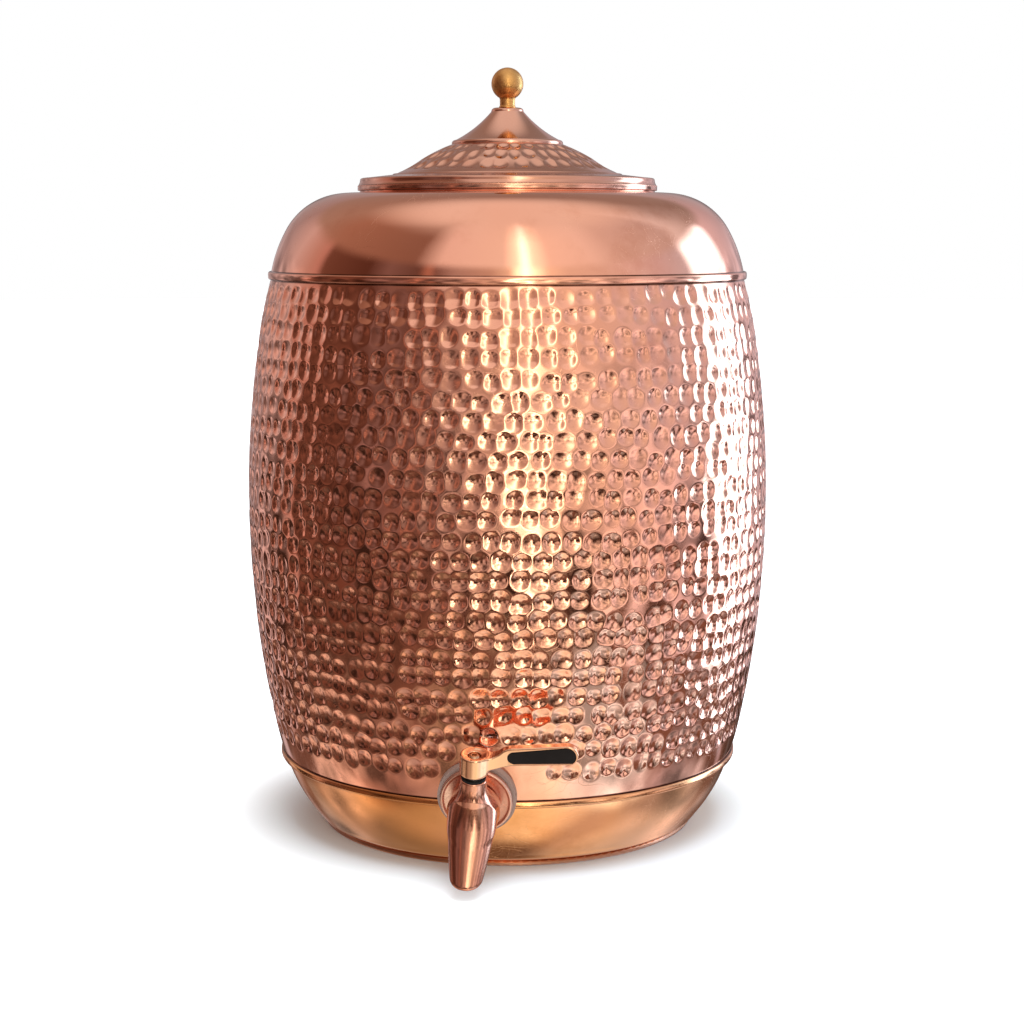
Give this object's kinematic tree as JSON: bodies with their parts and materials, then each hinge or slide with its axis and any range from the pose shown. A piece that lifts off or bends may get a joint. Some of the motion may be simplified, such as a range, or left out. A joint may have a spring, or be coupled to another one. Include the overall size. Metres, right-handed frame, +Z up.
{
  "type": "copper water dispenser",
  "caption": "Barrel-shaped vessel of hammered copper sheet with a lift-off knobbed lid and a quarter-turn lever tap low on one side.",
  "frame": {"origin": "middle of the foot's resting plane, on the vessel's axis", "axes": "+Z up along the vessel's axis, -Y out through the tap, +X towards the tip of the closed lever"},
  "size_m": [0.28, 0.3013, 0.4049],
  "materials": {
    "hammered_copper": "hand hammered and polished copper sheet, clear lacquer",
    "polished_copper": "spun and polished copper sheet",
    "lid_copper": "spun copper sheet with a hammered cone",
    "tap_copper": "copper plated brass casting, polished",
    "brass": "satin polished brass",
    "brass_nut": "machined brass",
    "steel": "plain stainless steel",
    "chrome": "nickel plated",
    "gasket_rubber": "dark brown rubber",
    "black_rubber": "black rubber",
    "black_enamel": "glossy black enamel",
    "ptfe": "white PTFE"
  },
  "bodies": {
    "vessel": {"foot_ring": "polished_copper", "base_bowl": "polished_copper", "barrel_shell": "hammered_copper", "shoulder_shell": "polished_copper", "mouth_wire": "steel", "outer_gasket": "gasket_rubber", "inner_gasket": "gasket_rubber", "tap_flange": "tap_copper", "tap_lock_nut": "brass_nut", "tap_body": "tap_copper", "valve_sleeve": "ptfe", "thrust_washer": "ptfe", "gland_nut": "chrome", "dust_ring": "black_rubber"},
    "lid": {"lid_shell": "lid_copper", "lid_skirt": "polished_copper", "knob_ball": "brass", "knob_collar": "brass", "knob_washer": "steel", "knob_screw": "steel"},
    "tap_lever": {"lever": "tap_copper", "lever_inlay": "black_enamel", "lever_screw": "steel", "valve_stem": "brass_nut", "stem_o_rings": "black_rubber"}
  },
  "joints": [
    {"name": "lid_lift", "type": "slide", "parent": "vessel", "child": "lid", "axis": [0, 0, 1], "range_m": [0, 0.16]},
    {"name": "tap_turn", "type": "hinge", "parent": "vessel", "child": "tap_lever", "pos_m": [0.00153, -0.14987, 0.05664], "axis": [0.0767, -0.2915, 0.9535], "range_deg": [-90, 0]}
  ]
}
